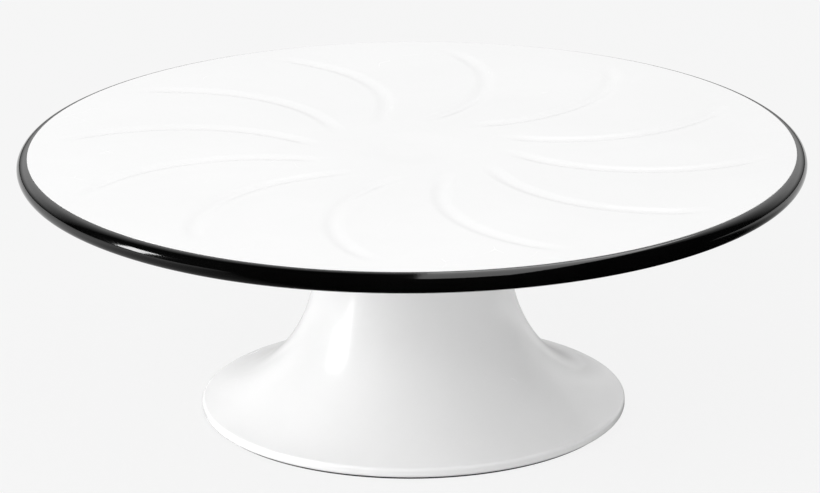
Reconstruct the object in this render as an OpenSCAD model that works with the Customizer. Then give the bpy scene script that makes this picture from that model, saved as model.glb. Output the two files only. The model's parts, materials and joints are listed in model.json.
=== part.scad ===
// Cake turntable: a white moulded plate with a black edge band, spinning on a trumpet-shaped pedestal.
// Units are millimetres. The origin is at the centre of the foot on the table, with +Z up.

/* [Overall] */
// Diameter over the plate's edge band
plate_d = 280; // [270:1:320]
// Height from the table to the top of the plate
total_h = 97; // [94:0.5:104]
// Diameter of the pedestal's foot
foot_d = 152; // [146:1:160]
// Diameter of the pedestal's neck
neck_d = 70; // [70:1:72]

/* [Plate] */
// Thickness of the plate's web
web_t = 3; // [2.5:0.1:4]
// Height of the rounded edge band
band_h = 7.7; // [7:0.1:8]
// Number of radial ribs under the plate
rib_count = 12; // [6:1:18]
// Thickness of every rib
rib_t = 2; // [1.5:0.1:2.5]

/* [Swirl grooves] */
// Number of grooves in the swirl
groove_count = 12; // [6:1:14]
// Radius of each groove's arc
groove_r = 65.2; // [60:0.1:70]
// Distance from the plate's centre to each arc's centre
groove_centre_r = 91.8; // [88:0.1:95]
// Direction of the first arc's centre
groove_turn = 24.4; // [0:0.1:30]
// Width of a groove at the surface
groove_w = 7; // [5:0.1:8]
// Depth of a groove
groove_depth = 0.5; // [0.4:0.05:0.8]

/* [Pedestal] */
// Wall thickness of the pedestal
wall = 2.8; // [2.4:0.1:3.2]
// Width of the flare from the neck to beyond the foot
flare_w = 48; // [46:1:52]
// Height of the flare
flare_h = 52.5; // [50:0.5:54]
// Number of ribs between the pedestal's wall and its post
post_rib_count = 6; // [4:1:8]

/* [Bearings] */
// Number of balls in the thrust bearing
thrust_ball_count = 18; // [12:1:18]
// Diameter of a thrust bearing ball
thrust_ball_d = 4.76; // [4:0.01:5]
// Number of balls in each spindle bearing
spindle_ball_count = 7; // [6:1:7]

/* [Hidden] */
$fn = 96;
over = 1;            // how far a cut runs past the surface it opens

// Plate
plate_r = plate_d / 2;
web_z = total_h - web_t;            // underside of the web
band_z = total_h - band_h;          // bottom of the edge band
band_round = band_h / 2;
seam_r = plate_r - band_round;      // where the plate meets its band
edge_wall_t = 3.2;
edge_wall_z = band_z + 0.2;
tongue_w = 1.5;
tongue_h = 2;
tongue_z = band_z + band_round - tongue_h / 2;
rib_edge_depth = 2.5;               // depth of a radial rib below the web at the plate's edge
ring_rib_r = [72, 104];
ring_rib_depth = 3;
boss_r = 3.5;                       // bosses for the flange screws
hub_wall_t = 2.7;                   // walls under the plate that carry the flange and the race
dimple_r = 20;
dimple_floor_r = 8;
dimple_depth = 0.35;
groove_first = 12;                  // angles along a groove's arc, from its point nearest the centre
groove_last = 108;
groove_bar_r = (groove_w * groove_w / 4 + groove_depth * groove_depth) / (2 * groove_depth);
groove_bar_z = total_h + groove_bar_r - groove_depth;
ramp_angle = 5;                     // slope of a groove's floor at its ends
ramp_inset = 0.5;

// Hub under the plate
neck_r = neck_d / 2;
skirt_gap = 1;                      // running gap between the neck and the skirt round it
skirt_r = neck_r + skirt_gap;
skirt_t = 3;
skirt_z = 74;
hub_r = skirt_r + skirt_t;

// Spindle
spindle_r = 4;
flange_r = 22;
flange_t = 3;
shoulder_r = 6;
end_chamfer = 0.5;
flange_screw_r = 17;
flange_screw_count = 4;
screw_r = 1.5;
screw_head_r = 3;
screw_head_h = 2;
screw_head_taper = 0.8;
recess_depth = 1;
recess_across = 3.2;
screw_hole_r = 1.8;
flange_screw_length = 7;

// Pedestal
foot_r = foot_d / 2;
lip_z = 1;                          // underside of the foot's rim
lip_round = 1.2;
edge_chamfer = 0.6;
neck_z = lip_z + flare_h + wall;    // where the flare becomes the straight neck
flare_x = neck_r + flare_w;         // the flare's centre
flare_steps = 28;
deck_z = 79;                        // top of the pedestal's deck
deck_t = 3;
post_r = 15;
post_z = 38;
post_rib_t = 2.2;
post_rib_foot_r = 42;               // where the foot of each rib meets the flare
cover_gap = 0.2;
cover_z = 1.2;
cover_t = 2;
cover_screw_count = 6;
cover_screw_pcd_r = 50;
cover_boss_r = 3.8;
cover_screw_length = 7;
cover_countersink = 1.5;
sink_gap = 0.1;                     // between a countersunk head and its seat
ring_outer_r = foot_r - 2;
ring_inner_r = ring_outer_r - 4;
ring_h = 2.2;
rim_inner_r = ring_inner_r - 1.8;   // inside of the foot's rim

// Spindle bearings: 8 mm bore, 22 mm outside, 7 mm wide
bearing_r = 11;
bearing_w = 7;
bearing_pitch_r = 7.5;
bearing_ball_r = 1.984;
bearing_inner_r = 6.05;             // outside of the inner ring
bearing_outer_r = 8.95;             // inside of the outer ring
bearing_cage_inner_r = 6.9;
bearing_cage_outer_r = 8.1;
bearing_cage_h = 5.2;
bearing_ball_gap = 0.03;            // between a ball and its raceway
bearing_pocket_gap = 0.07;          // between a ball and its cage
shield_inner_r = 6.25;
shield_t = 0.3;
shield_inset = 0.2;
upper_bearing_drop = 0.5;           // from the deck's top down to the upper bearing
upper_bearing_z = deck_z - upper_bearing_drop - bearing_w;
lower_bearing_z = post_z;
post_bore_r = 9;                    // bore between the two bearing seats

// Thrust bearing
race_inner_r = 24.5;
race_outer_r = 33.5;
race_t = 1.5;
thrust_pitch_r = 29;
thrust_ball_r = thrust_ball_d / 2;
race_depth = 0.4;                   // how far a ball sits in each race
thrust_z = deck_z + race_t - race_depth + thrust_ball_r;
upper_race_z = thrust_z + thrust_ball_r - race_depth;
hub_seat_z = upper_race_z + race_t;
race_gap = 0.3;                     // between a race and the spigot in it
spigot_h = 0.8;
spigot_r = race_inner_r - race_gap;
spigot_t = 1.2;
flange_z = hub_seat_z;              // underside of the spindle's flange
flange_top = flange_z + flange_t;
thrust_cage_t = 2.4;
thrust_cage_inner_r = 25.5;
thrust_cage_outer_r = 32.5;
thrust_pocket_gap = 0.12;

// Fasteners on the spindle's lower end
washer_t = 1.6;
washer_r = 6;
nut_flats = 13;
nut_h = 6.5;
nut_collar_h = 1.5;                 // the locking collar under the hexagon
nut_collar_r = 5.6;
thread_past_nut = 1;
shoulder_gap = 0.3;                 // keeps the load on the thrust bearing
washer_z = lower_bearing_z - washer_t;
nut_z = washer_z - nut_h;
spindle_z = nut_z - nut_collar_h - thread_past_nut;
shoulder_z = upper_bearing_z + bearing_w + shoulder_gap;

// Flat ring of inner radius r1 and outer radius r2, from z to z + h
module ring(r1, r2, z, h) {
    translate([0, 0, z]) difference() {
        cylinder(r = r2, h = h);
        translate([0, 0, -over]) cylinder(r = r1, h = h + 2 * over);
    }
}

// Copies of the children, evenly spaced round the axis at radius r
module around(count, r, first = 0) {
    for (i = [0 : count - 1]) rotate([0, 0, first + i * 360 / count]) translate([r, 0, 0]) children();
}

// Round ring of section radius r, centred at radius pitch and height z
module torus(pitch, r, z) {
    translate([0, 0, z]) rotate_extrude() translate([pitch, 0]) circle(r = r);
}

// Crossed slots of a driver recess, cut down from height z
module cross_recess(z) {
    slot_w = recess_across / 4;
    for (turn = [0, 90]) rotate([0, 0, turn]) translate([-recess_across / 2, -slot_w / 2, z - recess_depth])
        cube([recess_across, slot_w, recess_depth + over]);
}

// ---- Plate ----

// One groove of the swirl, as its cutter: a round bar along an arc, dipping into the plate. Wedges
// taken off the bar's ends make the groove's floor ramp up to the surface
module groove() {
    span = groove_last - groove_first;
    translate([groove_centre_r, 0, groove_bar_z]) rotate([0, 0, 180 + groove_first]) difference() {
        rotate_extrude(angle = span) translate([groove_r, 0]) circle(r = groove_bar_r);
        groove_ramp();
        rotate([0, 0, span]) mirror([0, 1, 0]) groove_ramp();
    }
}

// Wedge under the first end of a groove's bar
module groove_ramp() {
    translate([groove_r, ramp_inset, total_h - groove_bar_z]) rotate([-ramp_angle, 0, 0])
        translate([-groove_bar_r, -groove_w, -groove_w]) cube([2 * groove_bar_r, 3 * groove_w, groove_w]);
}

// Shallow dimple at the plate's centre, with sloping sides
module dimple() {
    rotate_extrude() polygon([
        [0, total_h - dimple_depth], [dimple_floor_r, total_h - dimple_depth],
        [dimple_r, total_h], [dimple_r, total_h + over], [0, total_h + over]
    ]);
}

// Everything of the plate that is round: web, edge wall with its tongue, skirt and the hub's walls
module plate_round() {
    translate([0, 0, web_z]) cylinder(r = seam_r, h = web_t);
    ring(seam_r - edge_wall_t, seam_r, edge_wall_z, web_z - edge_wall_z + over);
    ring(seam_r - edge_wall_t, seam_r + tongue_w, tongue_z, tongue_h);
    ring(skirt_r, skirt_r + skirt_t, skirt_z, web_z - skirt_z + over);
    ring(race_outer_r - hub_wall_t, race_outer_r, hub_seat_z, web_z - hub_seat_z + over);
    ring(spigot_r - spigot_t, spigot_r, hub_seat_z - spigot_h, web_z - hub_seat_z + spigot_h + over);
    ring(spigot_r - over, spigot_r + hub_wall_t, hub_seat_z, web_z - hub_seat_z + over);
    ring(shoulder_r, shoulder_r + hub_wall_t, flange_top, web_z - flange_top + over);
    around(flange_screw_count, flange_screw_r)
        translate([0, 0, flange_top]) cylinder(r = boss_r, h = web_z - flange_top + over);
}

// One radial rib: it carries the flange and the race, and runs out from the skirt to the plate's edge
module plate_rib() {
    rotate([90, 0, 0]) translate([0, 0, -rib_t / 2]) linear_extrude(height = rib_t) {
        translate([shoulder_r + hub_wall_t / 2, flange_top])
            square([skirt_r - shoulder_r, web_z + over - flange_top]);
        translate([spigot_r, hub_seat_z])
            square([skirt_r + skirt_t / 2 - spigot_r, web_z + over - hub_seat_z]);
        polygon([
            [hub_r - skirt_t / 2, web_z + over], [seam_r - edge_wall_t / 2, web_z + over],
            [seam_r - edge_wall_t / 2, web_z - rib_edge_depth], [hub_r - skirt_t / 2, hub_seat_z]
        ]);
    }
}

module plate() {
    color("white") difference() {
        union() {
            plate_round();
            around(rib_count, 0) plate_rib();
            for (r = ring_rib_r)
                ring(r - rib_t / 2, r + rib_t / 2, web_z - ring_rib_depth, ring_rib_depth + over);
        }
        around(groove_count, 0, groove_turn) groove();
        dimple();
        around(flange_screw_count, flange_screw_r)
            translate([0, 0, flange_z]) cylinder(r = screw_r, h = flange_screw_length);
    }
}

// Half-round band about the plate, with a groove inside for the plate's tongue
module edge_band() {
    color("black") rotate_extrude() difference() {
        intersection() {
            translate([seam_r, band_z + band_round]) circle(r = band_round);
            translate([seam_r, band_z]) square([band_round, band_h]);
        }
        translate([seam_r - over, tongue_z]) square([tongue_w + over, tongue_h]);
    }
}

// ---- Spindle and what is clamped on it ----

module spindle() {
    color("silver") difference() {
        rotate_extrude() polygon([
            [0, spindle_z], [spindle_r - end_chamfer, spindle_z],
            [spindle_r, spindle_z + end_chamfer], [spindle_r, shoulder_z],
            [shoulder_r, shoulder_z], [shoulder_r, flange_z],
            [flange_r, flange_z], [flange_r, flange_top], [0, flange_top]
        ]);
        around(flange_screw_count, flange_screw_r)
            translate([0, 0, flange_z - over]) cylinder(r = screw_hole_r, h = flange_t + 2 * over);
    }
}

// Pan-head self-tapping screw, standing on its head with the shank up
module pan_screw(length) {
    difference() {
        union() {
            translate([0, 0, -screw_head_h])
                cylinder(r1 = screw_head_r - screw_head_taper, r2 = screw_head_r, h = screw_head_h);
            cylinder(r = screw_r, h = length);
        }
        mirror([0, 0, 1]) cross_recess(screw_head_h);
    }
}

module flange_screws() {
    color("dimgray") around(flange_screw_count, flange_screw_r)
        translate([0, 0, flange_z]) pan_screw(flange_screw_length);
}

module bearing_spacer() {
    color("silver") ring(spindle_r, shoulder_r, lower_bearing_z + bearing_w,
                         upper_bearing_z - lower_bearing_z - bearing_w);
}

module spindle_washer() {
    color("silver") ring(spindle_r, washer_r, washer_z, washer_t);
}

// Hexagon lock nut with chamfered corners and a round collar below
module spindle_nut() {
    corner_r = nut_flats / 2 / cos(30);
    chamfer = corner_r - nut_flats / 2;
    color("silver") translate([0, 0, nut_z]) difference() {
        union() {
            intersection() {
                cylinder(r = corner_r, h = nut_h, $fn = 6);
                rotate_extrude() polygon([
                    [0, 0], [corner_r - chamfer, 0], [corner_r, chamfer / 2],
                    [corner_r, nut_h - chamfer / 2], [corner_r - chamfer, nut_h], [0, nut_h]
                ]);
            }
            translate([0, 0, -nut_collar_h]) cylinder(r = nut_collar_r, h = nut_collar_h + over);
        }
        translate([0, 0, -nut_collar_h - over])
            cylinder(r = spindle_r, h = nut_h + nut_collar_h + 2 * over);
    }
}

// ---- Thrust bearing under the plate ----

// One race: a flat washer whose face at the balls has a round groove for them
module thrust_race(z) {
    color("silver") difference() {
        ring(race_inner_r, race_outer_r, z, race_t);
        torus(thrust_pitch_r, thrust_ball_r + bearing_ball_gap, thrust_z);
    }
}

module lower_thrust_race() thrust_race(deck_z);

module upper_thrust_race() thrust_race(upper_race_z);

module thrust_balls() {
    color("silver") around(thrust_ball_count, thrust_pitch_r)
        translate([0, 0, thrust_z]) sphere(r = thrust_ball_r);
}

module thrust_cage() {
    color("ivory") difference() {
        ring(thrust_cage_inner_r, thrust_cage_outer_r, thrust_z - thrust_cage_t / 2, thrust_cage_t);
        around(thrust_ball_count, thrust_pitch_r) translate([0, 0, thrust_z - thrust_cage_t])
            cylinder(r = thrust_ball_r + thrust_pocket_gap, h = 2 * thrust_cage_t);
    }
}

// ---- Spindle bearings. Each piece is drawn for a bearing whose lower face is at height z ----

module raceway(z) {
    torus(bearing_pitch_r, bearing_ball_r + bearing_ball_gap, z + bearing_w / 2);
}

module bearing_inner_ring(z) {
    color("silver") difference() {
        ring(spindle_r, bearing_inner_r, z, bearing_w);
        raceway(z);
    }
}

module bearing_outer_ring(z) {
    color("silver") difference() {
        ring(bearing_outer_r, bearing_r, z, bearing_w);
        raceway(z);
    }
}

module bearing_balls(z) {
    color("silver") around(spindle_ball_count, bearing_pitch_r)
        translate([0, 0, z + bearing_w / 2]) sphere(r = bearing_ball_r);
}

module bearing_cage(z) {
    middle = z + bearing_w / 2;
    color("goldenrod") difference() {
        ring(bearing_cage_inner_r, bearing_cage_outer_r, middle - bearing_cage_h / 2, bearing_cage_h);
        around(spindle_ball_count, bearing_pitch_r) translate([0, 0, middle]) rotate([0, 90, 0])
            cylinder(r = bearing_ball_r + bearing_pocket_gap, h = bearing_ball_r, center = true);
    }
}

module bearing_shields(z) {
    color("gray") for (side = [shield_inset, bearing_w - shield_inset - shield_t])
        ring(shield_inner_r, bearing_outer_r, z + side, shield_t);
}

// ---- Pedestal ----

// Height of the flare at radius r, for a flare grown inwards by inset
function flare_z(r, inset = 0) =
    neck_z - (flare_h + inset) * sqrt(max(0, 1 - pow((flare_x - r) / (flare_w + inset), 2)));

// Points down the flare from the neck at radius r1 to radius r2
function flare_points(r1, r2, inset, steps) =
    [for (i = [0 : steps]) let (r = r1 + (r2 - r1) * pow(i / steps, 2)) [r, flare_z(r, inset)]];

// Outer and inner outlines of the pedestal's wall, with its deck
module pedestal_wall() {
    lip_r = foot_r - lip_round;
    lip_top = flare_z(lip_r);
    rotate_extrude() difference() {
        polygon(concat(
            [[0, deck_z], [neck_r - edge_chamfer, deck_z], [neck_r, deck_z - edge_chamfer]],
            flare_points(neck_r, lip_r, 0, flare_steps),
            [for (t = [80 : -20 : 0]) [lip_r, lip_top - lip_round] + lip_round * [cos(t), sin(t)]],
            [[foot_r, lip_z + edge_chamfer], [foot_r - edge_chamfer, lip_z], [0, lip_z]]
        ));
        polygon(concat(
            [[0, deck_z - deck_t], [neck_r - wall, deck_z - deck_t]],
            flare_points(neck_r - wall, rim_inner_r, wall, flare_steps),
            [[rim_inner_r, lip_z - over], [0, lip_z - over]]
        ));
        translate([ring_inner_r, lip_z - over])
            square([ring_outer_r - ring_inner_r, ring_h - lip_z + over]);
    }
}

// Post that holds both spindle bearings, tied to the wall by ribs, with the lower race's spigot on top
module pedestal_post() {
    rib_steps = 8;
    rib_top = deck_z - deck_t / 2;
    rib_start_r = post_r - post_rib_t;
    translate([0, 0, post_z]) cylinder(r = post_r, h = rib_top - post_z);
    translate([0, 0, rib_top]) cylinder(r = spigot_r, h = deck_z - rib_top + spigot_h);
    around(post_rib_count, 0) rotate([90, 0, 0])
        translate([0, 0, -post_rib_t / 2]) linear_extrude(height = post_rib_t) polygon(concat(
            [[rib_start_r, post_z], [rib_start_r, rib_top], [neck_r - wall / 2, rib_top]],
            flare_points(neck_r - wall / 2, post_rib_foot_r, wall / 2, rib_steps)
        ));
}

// Bores for the spindle and its bearings
module pedestal_bores() {
    translate([0, 0, post_z - over]) cylinder(r = post_bore_r, h = deck_z - post_z + 2 * over);
    translate([0, 0, lower_bearing_z - over]) cylinder(r = bearing_r, h = bearing_w + over);
    translate([0, 0, upper_bearing_z]) cylinder(r = bearing_r, h = bearing_w + 2 * over);
}

// Bosses that take the bottom cover's screws
module cover_bosses() {
    boss_z = cover_z + cover_t;
    boss_top = flare_z(cover_screw_pcd_r + cover_boss_r) - wall / 2;
    around(cover_screw_count, cover_screw_pcd_r, 180 / cover_screw_count)
        translate([0, 0, boss_z]) cylinder(r = cover_boss_r, h = boss_top - boss_z);
}

module pedestal() {
    color("white") difference() {
        union() {
            pedestal_wall();
            pedestal_post();
            cover_bosses();
        }
        pedestal_bores();
        around(cover_screw_count, cover_screw_pcd_r, 180 / cover_screw_count)
            translate([0, 0, cover_z]) cylinder(r = screw_r, h = cover_screw_length);
    }
}

module bottom_cover() {
    color("whitesmoke") difference() {
        translate([0, 0, cover_z]) cylinder(r = rim_inner_r - cover_gap, h = cover_t);
        around(cover_screw_count, cover_screw_pcd_r, 180 / cover_screw_count) {
            translate([0, 0, cover_z - over]) cylinder(r = screw_hole_r, h = cover_t + 2 * over);
            translate([0, 0, cover_z - over]) cylinder(r = screw_head_r + sink_gap, h = over);
            translate([0, 0, cover_z])
                cylinder(r1 = screw_head_r + sink_gap, r2 = screw_r + sink_gap, h = cover_countersink);
        }
    }
}

// Countersunk self-tapping screw with its head at the bottom
module cover_screws() {
    color("dimgray") around(cover_screw_count, cover_screw_pcd_r, 180 / cover_screw_count)
        translate([0, 0, cover_z]) difference() {
            union() {
                cylinder(r1 = screw_head_r, r2 = screw_r, h = cover_countersink);
                cylinder(r = screw_r, h = cover_screw_length);
            }
            mirror([0, 0, 1]) cross_recess(0);
        }
}

module foot_ring() {
    color("dimgray") ring(ring_inner_r, ring_outer_r, 0, ring_h);
}

plate();
edge_band();
spindle();
flange_screws();
upper_thrust_race();
bearing_inner_ring(upper_bearing_z);  // upper_bearing_inner_ring
bearing_inner_ring(lower_bearing_z);  // lower_bearing_inner_ring
bearing_spacer();
spindle_washer();
spindle_nut();
thrust_cage();
thrust_balls();
bearing_cage(upper_bearing_z);  // upper_bearing_cage
bearing_balls(upper_bearing_z);  // upper_bearing_balls
bearing_cage(lower_bearing_z);  // lower_bearing_cage
bearing_balls(lower_bearing_z);  // lower_bearing_balls
pedestal();
bottom_cover();
cover_screws();
foot_ring();
lower_thrust_race();
bearing_outer_ring(upper_bearing_z);  // upper_bearing_outer_ring
bearing_shields(upper_bearing_z);  // upper_bearing_shields
bearing_outer_ring(lower_bearing_z);  // lower_bearing_outer_ring
bearing_shields(lower_bearing_z);  // lower_bearing_shields
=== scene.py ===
# %% [markdown]
# # A cake turntable
# A decorator's turntable is a round plate that spins on a pedestal, so that a cake can be iced and piped
# from one place. This one is moulded in glossy white plastic: a flat plate with twelve shallow swirl
# grooves, a rounded black band about its edge, and a trumpet-shaped pedestal with a rubber ring under its
# foot. The bearings, spindle and screws come from the CAD model. The lesson rebuilds the outer mouldings
# as fine meshes and gives every piece a finish.
#
# The first cell loads the CAD model. Its pieces stay where they are, and everything else is built around
# them.

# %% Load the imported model
import json
import math

import bmesh
import bpy
import numpy as np
from mathutils import Matrix, Vector


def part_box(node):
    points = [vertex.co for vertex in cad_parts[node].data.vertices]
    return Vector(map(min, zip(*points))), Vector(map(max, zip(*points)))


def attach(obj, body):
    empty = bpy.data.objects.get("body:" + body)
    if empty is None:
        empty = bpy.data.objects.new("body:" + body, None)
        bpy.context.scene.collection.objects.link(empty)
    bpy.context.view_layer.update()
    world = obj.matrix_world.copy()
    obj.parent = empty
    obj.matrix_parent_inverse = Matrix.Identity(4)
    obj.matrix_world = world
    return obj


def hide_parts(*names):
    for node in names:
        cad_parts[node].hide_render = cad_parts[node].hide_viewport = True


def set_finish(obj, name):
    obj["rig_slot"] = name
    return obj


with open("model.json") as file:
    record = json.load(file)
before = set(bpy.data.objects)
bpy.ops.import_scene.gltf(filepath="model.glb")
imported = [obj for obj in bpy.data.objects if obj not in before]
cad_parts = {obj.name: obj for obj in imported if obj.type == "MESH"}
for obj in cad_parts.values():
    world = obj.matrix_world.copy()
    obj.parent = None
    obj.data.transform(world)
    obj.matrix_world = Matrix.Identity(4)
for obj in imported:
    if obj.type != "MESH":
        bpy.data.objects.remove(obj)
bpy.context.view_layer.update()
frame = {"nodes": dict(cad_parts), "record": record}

nodes = frame["nodes"]
print("pieces:", sorted(nodes))

# %% [markdown]
# ## Measures
# A moulding has to fit the pieces it is assembled with, so its main sizes are read from their boxes. What
# no box tells, such as a wall's thickness, is named here in metres.

# %% Read the sizes that the pieces share


def top_of(node):
    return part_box(node)[1].z


def foot_of(node):
    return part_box(node)[0].z


def radius_of(node):
    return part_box(node)[1].x


MM = 0.001
WEB = 3 * MM  # thickness of the plate's flat part

plate_r = radius_of("edge_band")
plate_z = top_of("plate")
band_z = foot_of("edge_band")
band_round = (plate_z - band_z) / 2
seam_r = plate_r - band_round
web_z = plate_z - WEB
neck_r = 35 * MM
foot_r = radius_of("pedestal")
lip_z = foot_of("pedestal")
deck_z = foot_of("lower_thrust_race")
seat_z = top_of("upper_thrust_race")
flange_z = top_of("spindle")
print(f"plate {2000 * plate_r:.0f} mm across and {1000 * plate_z:.0f} mm high")
print(f"foot {2000 * foot_r:.0f} mm across")

# %% [markdown]
# ## Helpers for turned shapes
# Nearly every outer piece is round, so it is made as a potter or a lathe makes it: one outline, swept
# once round the axis. Real mouldings have no knife-sharp corners, because the mould is cut with a round
# tool, so `softened` replaces each corner of an outline with a small arc before it is swept. Light
# catches these arcs, and the piece looks solid.

# %% Outlines with rounded corners
NO_LENGTH = 1e-9
CORNER_SHARE = 0.45  # the most of each side that a corner's arc may take


def arc(centre, radii, first, last, steps):
    """Points on an ellipse about centre, from angle first to angle last in degrees."""
    angles = np.radians(np.linspace(first, last, steps + 1))
    return [(centre[0] + radii[0] * math.cos(a), centre[1] + radii[1] * math.sin(a)) for a in angles]


def softened(outline, radius, closed=True, sharpest=25, steps=4):
    """The outline with each corner that turns more than `sharpest` degrees made round."""
    points = [Vector(p) for p in outline]
    soft = []
    for i, here in enumerate(points):
        before, after = points[i - 1], points[(i + 1) % len(points)]
        end = not closed and i in (0, len(points) - 1)
        into, out = (here - before), (after - here)
        if end or min(into.length, out.length) < NO_LENGTH:
            soft.append(here)
            continue
        turn = into.angle(out)
        if math.degrees(turn) < sharpest:
            soft.append(here)
            continue
        reach = min(radius * math.tan(turn / 2), CORNER_SHARE * min(into.length, out.length))
        start, finish = here - into.normalized() * reach, here + out.normalized() * reach
        for k in range(steps + 1):
            t = k / steps
            soft.append(start * (1 - t) ** 2 + here * 2 * t * (1 - t) + finish * t**2)
    return [tuple(p) for p in soft]


square = [(0, 0), (1, 0), (1, 1), (0, 1)]
print("a square with rounded corners has", len(softened(square, 0.1)), "points")

# %% [markdown]
# The sweep sets the outline at even turns round the axis and joins each turn to the next with four-sided
# faces. An outline that starts and ends on the axis closes there in a fan of triangles, so the piece is
# solid.

# %% Sweep an outline round the axis


def outward(mesh):
    """Turns every face of a closed mesh to look outward."""
    shape = bmesh.new()
    shape.from_mesh(mesh)
    bmesh.ops.recalc_face_normals(shape, faces=shape.faces)
    shape.to_mesh(mesh)
    shape.free()
    mesh.update()


def revolved(name, outline, segments, closed=True):
    """A mesh object swept round Z from an outline of (radius, height).

    An open outline starts and ends on the axis.
    """
    rings = outline if closed else outline[1:-1]
    angles = np.linspace(0, 2 * math.pi, segments, endpoint=False)
    profile = np.array(rings)
    xs = np.outer(profile[:, 0], np.cos(angles))
    ys = np.outer(profile[:, 0], np.sin(angles))
    zs = np.repeat(profile[:, 1:2], segments, axis=1)
    points = np.stack([xs, ys, zs], axis=-1).reshape(-1, 3)
    faces = []
    count = len(rings)
    for i in range(count if closed else count - 1):
        a, b = i * segments, ((i + 1) % count) * segments
        for j in range(segments):
            k = (j + 1) % segments
            faces.append((a + j, b + j, b + k, a + k))
    if not closed:
        first, last = len(points), len(points) + 1
        points = np.vstack([points, (0, 0, outline[0][1]), (0, 0, outline[-1][1])])
        rim = (count - 1) * segments
        faces += [(first, j, (j + 1) % segments) for j in range(segments)]
        faces += [(rim + j, last, rim + (j + 1) % segments) for j in range(segments)]
    mesh = bpy.data.meshes.new(name)
    mesh.from_pydata(points.tolist(), [], faces)
    outward(mesh)
    piece = bpy.data.objects.new(name, mesh)
    bpy.context.scene.collection.objects.link(piece)
    return piece


print("outlines can be swept")

# %% [markdown]
# ## Helpers for the pieces of one moulding
# A moulding is more than its turned shell. It has upright ribs of even thickness, and round bosses and
# holes that stand in a ring. A rib is drawn as an outline and given its thickness, and a boss is a small
# turned shape.

# %% Ribs and pins


def slab(name, outline, thickness, turn):
    """An upright plate with an outline of (radius, height), turned about Z by `turn` radians."""
    shape = bmesh.new()
    sides = [[shape.verts.new((r, y, z)) for r, z in outline] for y in (-thickness / 2, thickness / 2)]
    shape.faces.new(sides[0])
    shape.faces.new(list(reversed(sides[1])))
    for i in range(len(outline)):
        j = (i + 1) % len(outline)
        shape.faces.new((sides[0][i], sides[1][i], sides[1][j], sides[0][j]))
    bmesh.ops.recalc_face_normals(shape, faces=shape.faces)
    bmesh.ops.rotate(shape, verts=shape.verts, matrix=Matrix.Rotation(turn, 3, "Z"))
    mesh = bpy.data.meshes.new(name)
    shape.to_mesh(mesh)
    shape.free()
    piece = bpy.data.objects.new(name, mesh)
    bpy.context.scene.collection.objects.link(piece)
    return piece


def moved(piece, offset):
    for vertex in piece.data.vertices:
        vertex.co += Vector(offset)
    return piece


def pin(name, radius, low, high, place, segments=48, soft=0.0):
    """An upright round pin at place, from height low to height high."""
    outline = [(0, low), (radius, low), (radius, high), (0, high)]
    if soft:
        outline = softened(outline, soft, closed=False)
    return moved(revolved(name, outline, segments, closed=False), place)


def places(count, radius, first=0.0):
    """Points spaced evenly round the axis, with the first at the angle `first`."""
    turns = [first + 2 * math.pi * k / count for k in range(count)]
    return [(radius * math.cos(turn), radius * math.sin(turn), 0) for turn in turns]


print("four places round a circle:", [tuple(round(c) for c in place[:2]) for place in places(4, 1)])

# %% [markdown]
# The mould makes all of these shapes one. Here a Boolean modifier does that, and its result is kept as
# the mesh. At the end each piece is shaded smooth, with its sharp corners kept crisp, and the CAD piece
# it stands for is hidden.

# %% Unions, cuts and the last touch


def combined(piece, others, operation):
    """piece after a union with, or a cut by, each of the others, which are used up."""
    for other in others:
        modifier = piece.modifiers.new("combine", "BOOLEAN")
        modifier.operation = operation
        modifier.solver = "MANIFOLD"
        modifier.object = other
        graph = bpy.context.evaluated_depsgraph_get()
        mesh = bpy.data.meshes.new_from_object(piece.evaluated_get(graph))
        piece.modifiers.clear()
        piece.data = mesh
        bpy.data.objects.remove(other)
    return piece


def finished(piece, body, node, slot, crisp=32):
    """Shades a piece, hides the CAD piece that it stands for, and says what it moves with and which
    finish it has.
    """
    piece.data.shade_smooth()
    piece.data.set_sharp_from_angle(angle=math.radians(crisp))
    weighted = piece.modifiers.new("weighted_normals", "WEIGHTED_NORMAL")
    weighted.keep_sharp = True
    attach(piece, body)
    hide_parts(node)
    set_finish(piece, slot)
    print(f"{piece.name}: {len(piece.data.vertices)} points, {len(piece.data.polygons)} faces")
    return piece


print("shapes can be joined, cut and finished")

# %% [markdown]
# ## The swirl
# Twelve shallow grooves curve from near the plate's centre to near its edge. Each is an arc of one
# circle, and the twelve circles' centres stand evenly on a ring. A groove this soft is a height field:
# every point of the plate's top is lowered by how near it is to the closest arc. The depth follows a
# cosine across the groove, so that its shoulders are rounded, and it fades over the last stretch at both
# ends.

# %% Depth of the swirl at any point of the plate
GROOVES = 12
GROOVE_RADIUS = 65.2 * MM
GROOVE_CENTRE = 91.8 * MM  # from the plate's axis to the centre of each arc
GROOVE_TURN = math.radians(24.4)  # where the first centre stands
GROOVE_WIDTH = 8.4 * MM
GROOVE_DEPTH = 0.5 * MM
GROOVE_FIRST = math.radians(13)  # where along its circle a groove starts
GROOVE_LAST = math.radians(107)  # and ends
GROOVE_FADE = math.radians(16)
DIMPLE_RADIUS = 21 * MM
DIMPLE_FLOOR = 6 * MM
DIMPLE_DEPTH = 0.35 * MM


def smooth_step(t):
    t = np.clip(t, 0, 1)
    return t * t * (3 - 2 * t)


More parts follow.
